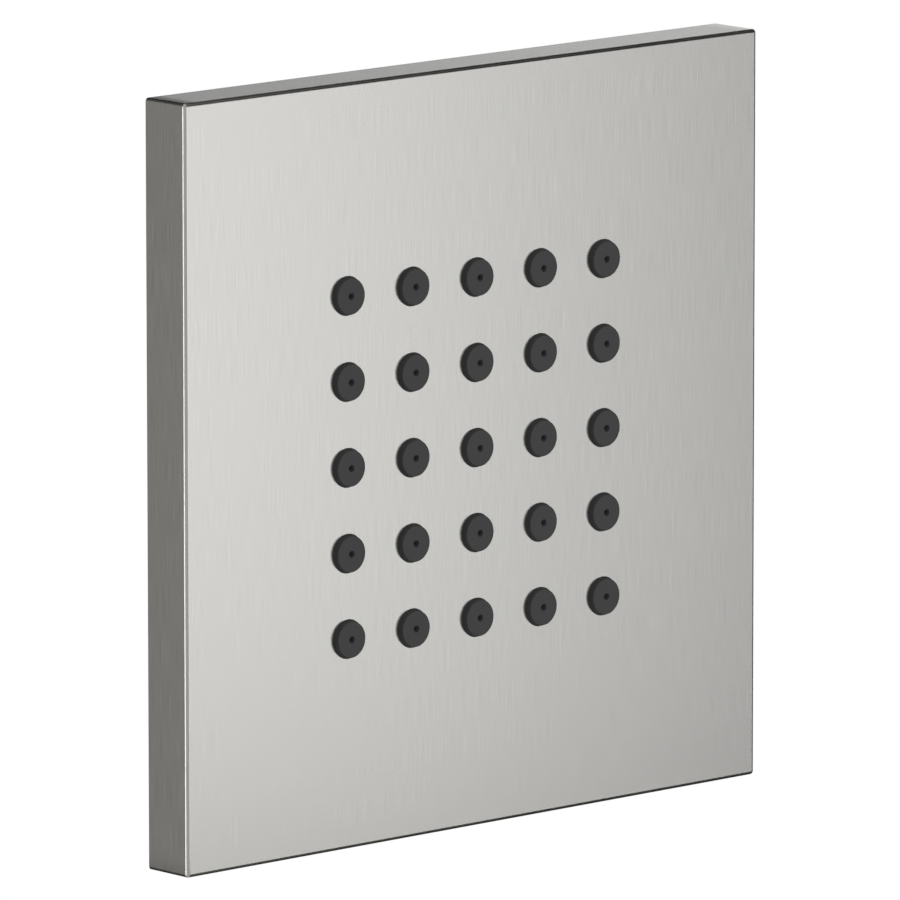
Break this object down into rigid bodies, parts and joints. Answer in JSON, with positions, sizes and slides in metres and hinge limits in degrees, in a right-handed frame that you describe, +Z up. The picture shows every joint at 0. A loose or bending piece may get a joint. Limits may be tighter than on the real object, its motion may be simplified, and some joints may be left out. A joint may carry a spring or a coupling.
{
  "type": "shower body jet",
  "caption": "Square flush body jet for a shower wall: a brushed metal cover with a grid of dark silicone nozzles, a water chamber clamped behind it and a threaded inlet.",
  "frame": {"origin": "centre of the wall plane, which is the back rim of the cover", "axes": "+X to the right seen from the room, +Y into the wall, +Z up"},
  "size_m": [0.12, 0.0296, 0.12],
  "materials": {
    "brushed_steel": "fine vertical brushing",
    "silicone": "matt moulded silicone",
    "acetal": "natural moulded acetal",
    "moulded_plastic": "fine moulded grain",
    "brass": "turned",
    "stainless_steel": "bright drawn",
    "foam_rubber": "closed-cell foam"
  },
  "bodies": {
    "root": {"cover_plate": "brushed_steel", "nozzle_mat": "silicone", "mat_retainer": "acetal", "chamber_body": "moulded_plastic", "inlet_neck": "moulded_plastic", "diffuser_plate": "acetal", "inlet_screen": "acetal", "inlet_bush": "brass", "clamp_studs": "stainless_steel", "wall_gasket": "foam_rubber"}
  },
  "joints": []
}
